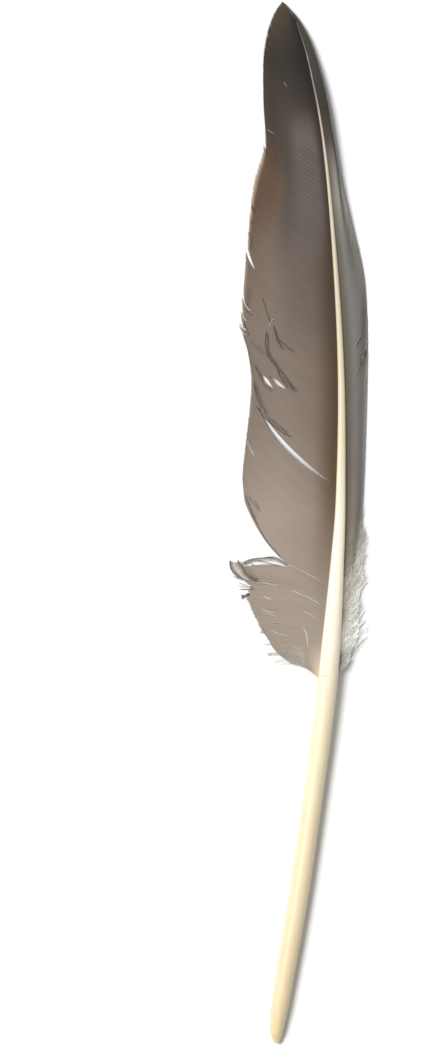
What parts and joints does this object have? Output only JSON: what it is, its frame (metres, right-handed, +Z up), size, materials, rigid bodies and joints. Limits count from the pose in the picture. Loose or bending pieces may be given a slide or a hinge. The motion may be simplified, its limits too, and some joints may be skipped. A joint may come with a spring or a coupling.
{
  "type": "goose quill feather",
  "caption": "Large curved goose flight feather with a bare horn-coloured quill, a wide taupe trailing vane split by partings, a narrow grey leading vane and a downy tuft, lying flat.",
  "frame": {"origin": "middle of the feather's outline, on the surface that it lies on", "axes": "+Y from the quill to the tip, +Z up through the smooth back of the shaft, +X to the side of the narrow leading vane"},
  "size_m": [0.0439, 0.3322, 0.0076],
  "materials": {
    "vane": "matte grey-brown barbs with a faint silky sheen across them",
    "quill": "smooth, slightly see-through cream horn",
    "down": "loose pale grey fluff"
  },
  "bodies": {
    "root": {"feather": "vane"}
  },
  "joints": []
}
